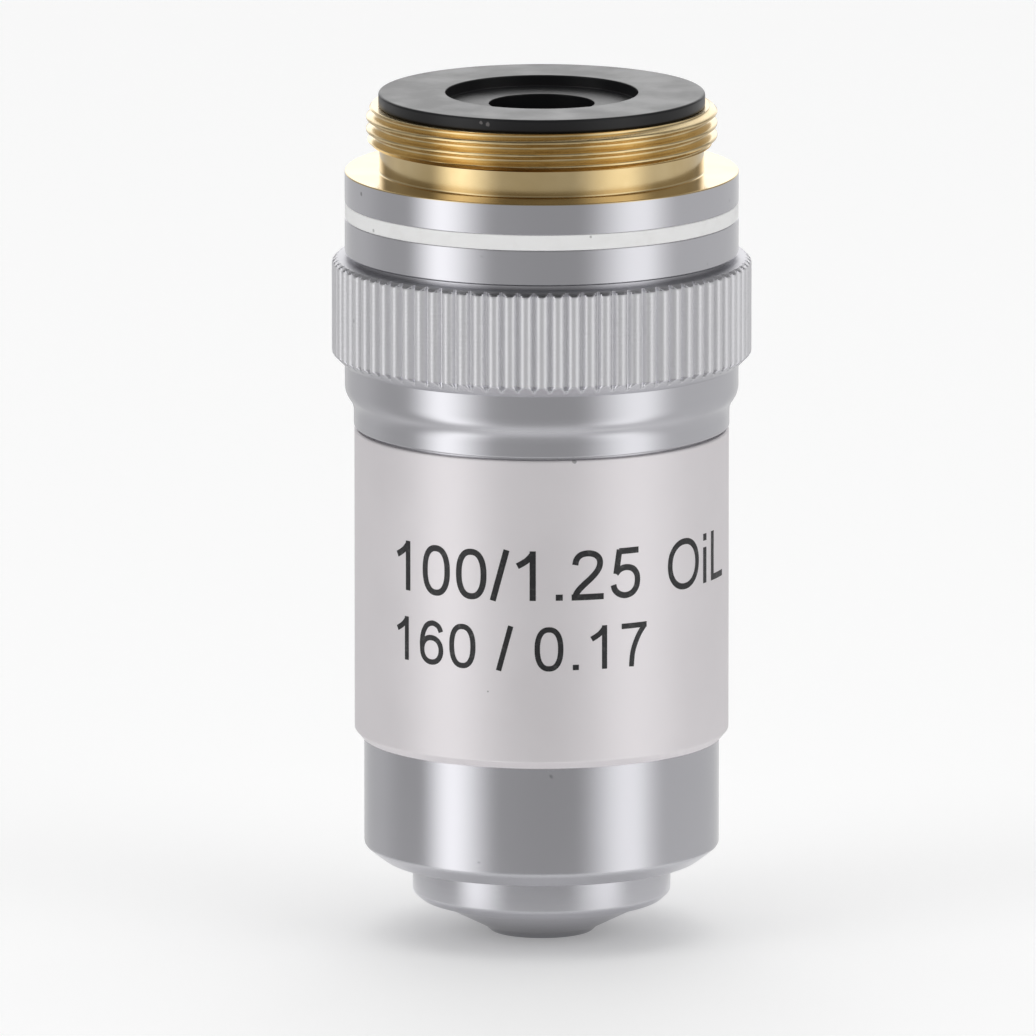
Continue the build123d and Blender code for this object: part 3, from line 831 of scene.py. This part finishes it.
# %% Outline of the mount
THREAD_R = 10.16
mount_outline = [
    (8.5, 32.9, 0.05),
    (9.88, 32.9, 0.15),
    (9.88, RING_TOP, 0.0),
    (11.0, RING_TOP, 0.0),
    (11.0, 40.0, 0.0),
    (COLLAR_R, 40.0, 0.12),
    (COLLAR_R, BAND_LOW, 0.03),
    (GROOVE_R, BAND_LOW, 0.0),
    (GROOVE_R, BAND_HIGH, 0.0),
    (COLLAR_R, BAND_HIGH, 0.03),
    (COLLAR_R, SEAT_Z, 0.07),
    (9.4, SEAT_Z, 0.1),
    (9.4, NECK_Z, 0.08),
    (9.86, NECK_Z, 0.05),
    (THREAD_R, 46.7, 0.0),
    (THREAD_R, 48.3, 0.0),
    (9.86, THREAD_TOP, 0.05),
    (8.0, THREAD_TOP, 0.0),
    (8.0, POCKET_Z, 0.0),
    (5.6, POCKET_Z, 0.05),
    (5.6, SPRING_HIGH, 0.05),
    (8.5, SPRING_HIGH, 0.0),
]
ROW_STEP = 0.035
rows = finer(outwards(softened(mount_outline)), 9.8, NECK_Z - 0.01, ROW_STEP)
mount_blank = turned_mesh("mount_blank", rows, columns=320)
print("rows in the mount's outline:", len(rows))

# %% Press the thread into it
thread_values = {
    "Pitch": 25.4 / 36 * MM,
    "Crest radius": THREAD_R * MM,
    "Depth": 0.45 * MM,
    "Crest height": 48.11 * MM,
    "Lowest": (NECK_Z + 0.001) * MM,
}
tree, given = new_tree("press_thread", thread_values)
x, y, z = split(tree, node(tree, "GeometryNodeInputPosition"))
radius = (x * x + y * y) ** 0.5
turns = y.math("ARCTAN2", x) / (2 * math.pi)
phase = ((z - given["Crest height"]) / given["Pitch"] - turns - 0.25).math("FRACT")
from_crest = 1.0 - (phase * 2.0 - 1.0).math("ABSOLUTE")
groove = from_crest.step(0.10, 0.90)
wanted = radius.math("MINIMUM", given["Crest radius"] - given["Depth"] * groove)
on_thread = z.math("GREATER_THAN", given["Lowest"]) * radius.math(
    "GREATER_THAN", given["Crest radius"] - given["Depth"]
)
factor = 1.0 + (wanted / radius - 1.0) * on_thread
moved = node(
    tree,
    "ShaderNodeCombineXYZ",
    inputs={"X": x * factor, "Y": y * factor, "Z": z},
)
shaped = node(
    tree,
    "GeometryNodeSetPosition",
    inputs={"Geometry": given["Geometry"], "Position": moved},
)
close_tree(tree, shaped, mount_finish)
mount_mesh = made_by(tree, mount_blank, thread_values, "threaded_mount")
new_piece("threaded_mount", mount_mesh, mount_finish, "outer_body", "mount_brass", "mount_body")

# %% [markdown]
# ## Colour band and rear stop
# The band is enamel that was filled into its groove and turned flush. The rear stop is a
# black disc with a shallow recess and the hole that the image light passes through.

# %% Colour band
ENAMEL_GAP = 0.005
enamel_low, enamel_high = BAND_LOW + ENAMEL_GAP, BAND_HIGH - ENAMEL_GAP
band_outline = [
    (GROOVE_R + ENAMEL_GAP, enamel_low),
    (COLLAR_R - 0.01, enamel_low, 0.05),
    (COLLAR_R - 0.01, enamel_high, 0.05),
    (GROOVE_R + ENAMEL_GAP, enamel_high),
]
turned_piece("enamel_band", band_outline, enamel, "outer_body", "band_enamel", "colour_band")

# %% Rear stop
STOP_TOP, RECESS_R, RECESS_Z = 49.36, 5.575, 48.71
stop_outline = [
    (7.98, POCKET_Z, 0.1),
    (7.98, THREAD_TOP, 0.0),
    (9.45, THREAD_TOP, 0.1),
    (9.45, STOP_TOP, 0.14),
    (RECESS_R, STOP_TOP, 0.06),
    (RECESS_R, RECESS_Z, 0.05),
    (3.05, RECESS_Z, 0.05),
    (3.05, 47.71, 0.05),
    (6.02, 47.71, 0.0),
    (6.02, POCKET_Z, 0.05),
]
turned_piece("black_stop", stop_outline, anodised, "outer_body", "stop_black", "rear_stop")

# %% [markdown]
# ## Spring
# The spring sits between the stop ring and the mount. Its end turns lie closed and are
# ground flat, so that it stands square. Geometry Nodes bend a straight line into the
# coil: the height of each point follows from how many turns it is from the start. A round
# section is swept along it, and whatever passes the two seats is pressed flat, as the
# grinding wheel does.

# %% Coil the wire
COIL_POINTS = 641
spring_values = {
    "Wire": 0.8 * MM,
    "Coil radius": 7.3 * MM,
    "Low seat": SPRING_LOW * MM,
    "High seat": SPRING_HIGH * MM,
    "Turns": 8.0,
    "Ground": 0.3 * MM,
}
tree, given = new_tree("coil_spring", spring_values)
line = node(tree, "GeometryNodeMeshLine", inputs={"Count": COIL_POINTS})
curve = node(tree, "GeometryNodeMeshToCurve", inputs={"Mesh": line})
along = node(tree, "GeometryNodeInputIndex") / (COIL_POINTS - 1.0)
turn = along * given["Turns"]
closed_low = turn.math("MINIMUM", 1.0)
closed_high = (turn - (given["Turns"] - 1.0)).math("MAXIMUM", 0.0)
active_share = (turn - closed_low - closed_high) / (given["Turns"] - 2.0)
start_z = given["Low seat"] + given["Wire"] * 0.5 - given["Ground"]
end_z = given["High seat"] - given["Wire"] * 0.5 + given["Ground"]
open_rise = end_z - start_z - given["Wire"] * 2.0
coil_z = start_z + (closed_low + closed_high) * given["Wire"] + active_share * open_rise
angle = turn * (2 * math.pi)
coil_point = node(
    tree,
    "ShaderNodeCombineXYZ",
    inputs={
        "X": angle.math("COSINE") * given["Coil radius"],
        "Y": angle.math("SINE") * given["Coil radius"],
        "Z": coil_z,
    },
)
coiled = node(tree, "GeometryNodeSetPosition", inputs={"Geometry": curve, "Position": coil_point})
section = node(
    tree,
    "GeometryNodeCurvePrimitiveCircle",
    inputs={"Resolution": 20, "Radius": given["Wire"] * 0.5},
)
swept = node(
    tree,
    "GeometryNodeCurveToMesh",
    inputs={"Curve": coiled, "Profile Curve": section, "Fill Caps": True},
)
x, y, z = split(tree, node(tree, "GeometryNodeInputPosition"))
flat_z = z.math("MAXIMUM", given["Low seat"]).math("MINIMUM", given["High seat"])
pressed = node(tree, "ShaderNodeCombineXYZ", inputs={"X": x, "Y": y, "Z": flat_z})
ground = node(tree, "GeometryNodeSetPosition", inputs={"Geometry": swept, "Position": pressed})
close_tree(tree, ground, wire_steel)
spring_mesh = made_by(tree, bpy.data.meshes.new("nothing"), spring_values, "wire_spring")
spring = new_piece(
    "wire_spring", spring_mesh, wire_steel, "outer_body", "spring_steel", "coil_spring"
)
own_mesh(spring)

# %% [markdown]
# ## Pieces inside
# The lens cells, rings, pin and screws of the solid model already have their real shape,
# and little of them is seen. They keep their meshes and only get their finishes here.

# %% Finishes for the inner pieces
inner_finishes = {
    "guide_pin": wire_steel,
    "stop_ring_screw": wire_steel,
    "stop_ring": inner_brass,
    "spacing_shim": inner_brass,
    "meniscus_cell": blackened,
    "lower_doublet_cell": blackened,
    "lower_retaining_ring": blackened,
    "upper_doublet_cell": blackened,
    "upper_retaining_ring": blackened,
    "spacer_tube": blackened,
    "meniscus_lens": crown_glass,
    "lower_crown_lens": crown_glass,
    "upper_crown_lens": crown_glass,
    "lower_flint_lens": flint_glass,
    "upper_flint_lens": flint_glass,
}
for name, material in inner_finishes.items():
    for material_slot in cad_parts[name].material_slots:
        material_slot.material = material
print("inner pieces finished:", len(inner_finishes))

# %% [markdown]
# ## Figures
# The black figures on the sleeve are printed round it. They could be a picture on the
# surface, but that would blur close up, and a font's own shapes differ from these. So
# each figure is drawn as lines of even thickness, in thousandths of the type size. The
# lines are made ribbons, and a triangulation joins the ribbons that overlap.


# %% Lines of the figures
def oval(x, y, half_width, half_height, power, count=44):
    """A closed oval, a little squarer than an ellipse."""
    line = []
    for step in range(count):
        angle = 2 * math.pi * step / count
        c, s = math.cos(angle), math.sin(angle)
        across = math.copysign(abs(c) ** (2 / power), c)
        up = math.copysign(abs(s) ** (2 / power), s)
        line.append((x + half_width * across, y + half_height * up))
    return line + line[:1]


def flowing(*points, fine=6):
    """A smooth line through a few points."""
    padded = [points[0], *points, points[-1]]
    line = []
    for a, b, c, d in zip(padded, padded[1:], padded[2:], padded[3:]):
        for step in range(fine):
            t = step / fine
            weights = (
                -t / 2 + t**2 - t**3 / 2,
                1 - 2.5 * t**2 + 1.5 * t**3,
                t / 2 + 2 * t**2 - 1.5 * t**3,
                -(t**2) / 2 + t**3 / 2,
            )
            near = list(zip(weights, (a, b, c, d)))
            line.append((sum(w * p[0] for w, p in near), sum(w * p[1] for w, p in near)))
    return line + [points[-1]]


# %% Shapes of the figures
CAPITAL = 716.0
FIGURES = {
    " ": (278, []),
    ".": (278, [[(91, 46), (191, 46)]]),
    "/": (278, [[(38, -12), (240, 728)]]),
    "0": (556, [oval(277, 353, 190, 322, 2.35)]),
    "1": (556, [[(329, 0), (329, 718)], flowing((322, 668), (262, 598), (190, 545), (109, 500))]),
    "2": (
        556,
        [
            flowing(
                *((84, 512), (104, 592), (165, 654), (268, 675), (372, 652), (436, 590)),
                *((446, 505), (408, 415), (320, 318), (200, 212), (120, 128), (78, 44)),
            ),
            [(32, 43), (503, 43)],
        ],
    ),
    "5": (
        556,
        [
            [(172, 674), (482, 674)],
            [(177, 700), (126, 350)],
            flowing(
                *((122, 352), (185, 412), (280, 436), (385, 410), (450, 335), (466, 240)),
                *((446, 140), (380, 62), (275, 31), (175, 56), (108, 118), (84, 192)),
            ),
        ],
    ),
    "6": (
        556,
        [
            oval(277, 232, 187, 201, 2.15),
            flowing(
                *((464, 540), (424, 622), (350, 667), (272, 672)),
                *((180, 622), (112, 500), (86, 350), (90, 232)),
            ),
        ],
    ),
    "7": (
        556,
        [
            [(47, 674), (511, 674)],
            flowing((470, 660), (380, 545), (300, 390), (246, 220), (224, 0)),
        ],
    ),
    "O": (778, [oval(389, 358, 297, 326, 2.15, 56)]),
    "i": (222, [[(111, 0), (111, 519)], [(111, 617), (111, 716)]]),
    "L": (556, [[(121, 0), (121, 716)], [(80, 43), (521, 43)]]),
}
HALF_LINE = 44.0


# %% Ribbons and their union
def ribbon(line):
    """Both edges of a line of even thickness."""
    closed = line[0] == line[-1]
    left, right = [], []
    for index, point in enumerate(line):
        here = Vector(point)
        before = line[index - 1] if index else line[-2] if closed else point
        after = line[index + 1] if index < len(line) - 1 else line[1] if closed else point
        arriving = (here - Vector(before)).normalized()
        leaving = (Vector(after) - here).normalized()
        if arriving.length < 0.5:
            arriving = leaving
        if leaving.length < 0.5:
            leaving = arriving
        along = (arriving + leaving).normalized()
        side = Vector((-along.y, along.x)) * HALF_LINE / max(along.dot(arriving), 0.5)
        left.append(here + side)
        right.append(here - side)
    return left, right


def flat_figure(lines, strip):
    """Triangles of one figure, cut into upright strips so that it can be bent."""
    corners, quads, cuts = [], [], []
    for line in lines:
        left, right = ribbon(line)
        for k in range(len(line) - 1):
            quads.append(list(range(len(corners), len(corners) + 4)))
            corners += [right[k], right[k + 1], left[k + 1], left[k]]
    low, high = min(c.x for c in corners), max(c.x for c in corners)
    for step in range(1, int((high - low) / strip) + 1):
        cuts.append((len(corners), len(corners) + 1))
        corners += [Vector((low + step * strip, -60.0)), Vector((low + step * strip, 800.0))]
    spots, _, triangles, _, _, sources = delaunay_2d_cdt(corners, cuts, quads, 0, 1e-3)
    return spots, [t for t, source in zip(triangles, sources) if source]


# %% Print a line of figures
PAINT_THICKNESS, PAINT_DEPTH = 0.012, 0.02
STRIP = 60.0


def printed(name, words, start_angle, end_angle, baseline, capital_height):
    """Put words round the sleeve between two angles, counted from the front to the right."""
    scale = capital_height / CAPITAL
    arc = math.radians(end_angle - start_angle) * SLEEVE_R
    form = bmesh.new()
    cursor, laid = 0.0, []
    for letter in words:
        advance, lines = FIGURES[letter]
        if lines:
            laid.append((cursor, *flat_figure(lines, STRIP)))
        cursor += advance
    low = laid[0][0] + min(p.x for p in laid[0][1] if p.y > -50)
    high = laid[-1][0] + max(p.x for p in laid[-1][1] if p.y > -50)
    stretch = arc / ((high - low) * scale)
    for place, spots, triangles in laid:
        middle = place + sum(p.x for p in spots) / len(spots)
        made = {}
        for triangle in triangles:
            for index in triangle:
                if index not in made:
                    p = spots[index]
                    x = (middle - low) * scale * stretch + (place + p.x - middle) * scale
                    made[index] = form.verts.new((x, p.y * scale, 0.0))
            form.faces.new([made[index] for index in triangle])
    thick = bmesh.ops.extrude_face_region(form, geom=form.faces[:])
    for v in [g for g in thick["geom"] if isinstance(g, bmesh.types.BMVert)]:
        v.co.z = 1.0
    for v in form.verts:
        angle = math.radians(start_angle) + v.co.x / SLEEVE_R
        r = SLEEVE_R + (PAINT_THICKNESS if v.co.z > 0.5 else -PAINT_DEPTH)
        v.co = Vector((r * math.sin(angle), -r * math.cos(angle), baseline + v.co.y)) * MM
    bmesh.ops.recalc_face_normals(form, faces=form.faces)
    mesh = bpy.data.meshes.new(name)
    form.to_mesh(mesh)
    form.free()
    print(name, "is", round(arc, 2), "mm long, spread by", round(stretch, 3))
    return new_piece(name, mesh, paint, "outer_body", "sleeve_satin")


printed("magnification", "100/1.25", -50.5, 31.6, 21.5, 2.9)
printed("immersion", "OiL", 42.0, 74.0, 21.5, 2.9)
printed("tube_and_glass", "160 / 0.17", -50.5, 34.0, 17.4, 2.55)
